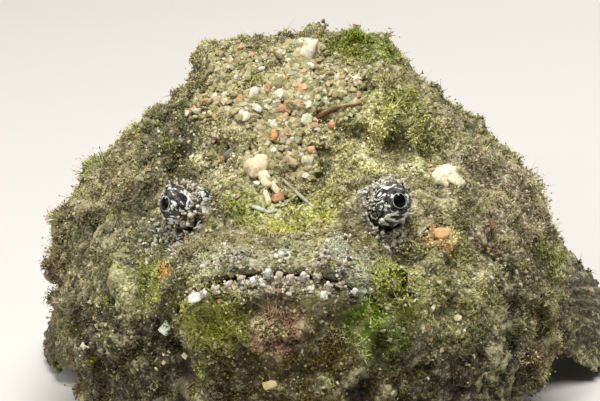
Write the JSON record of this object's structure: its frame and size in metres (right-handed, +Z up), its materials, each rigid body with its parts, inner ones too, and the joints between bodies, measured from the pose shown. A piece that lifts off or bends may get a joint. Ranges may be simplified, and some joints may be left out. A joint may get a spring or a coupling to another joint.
{
  "type": "stonefish",
  "caption": "Life-size stonefish resting on its belly, with an upturned mouth, raised eyes, warty skin and fan-shaped fins.",
  "frame": {"origin": "on the floor, on the flat of the belly below the middle of the trunk", "axes": "-Y is where the fish faces, +X is its left side, +Z is up"},
  "size_m": [0.1694, 0.2998, 0.1028],
  "materials": {
    "skin": "matt warty skin under algae and sand grains",
    "fin_skin": "matt thick skin over ridged rays",
    "eye": "wet and dark, marbled with white"
  },
  "bodies": {
    "root": {"head": "skin", "lower_jaw": "skin", "trunk": "skin", "tail_stem": "skin", "eye_left": "eye", "eye_right": "eye", "dorsal_fin_spines": "fin_skin", "dorsal_fin_soft": "fin_skin", "anal_fin": "fin_skin", "tail_fin": "fin_skin", "pectoral_fin_left": "fin_skin", "pectoral_fin_right": "fin_skin", "pelvic_fin_left": "fin_skin", "pelvic_fin_right": "fin_skin"}
  },
  "joints": []
}
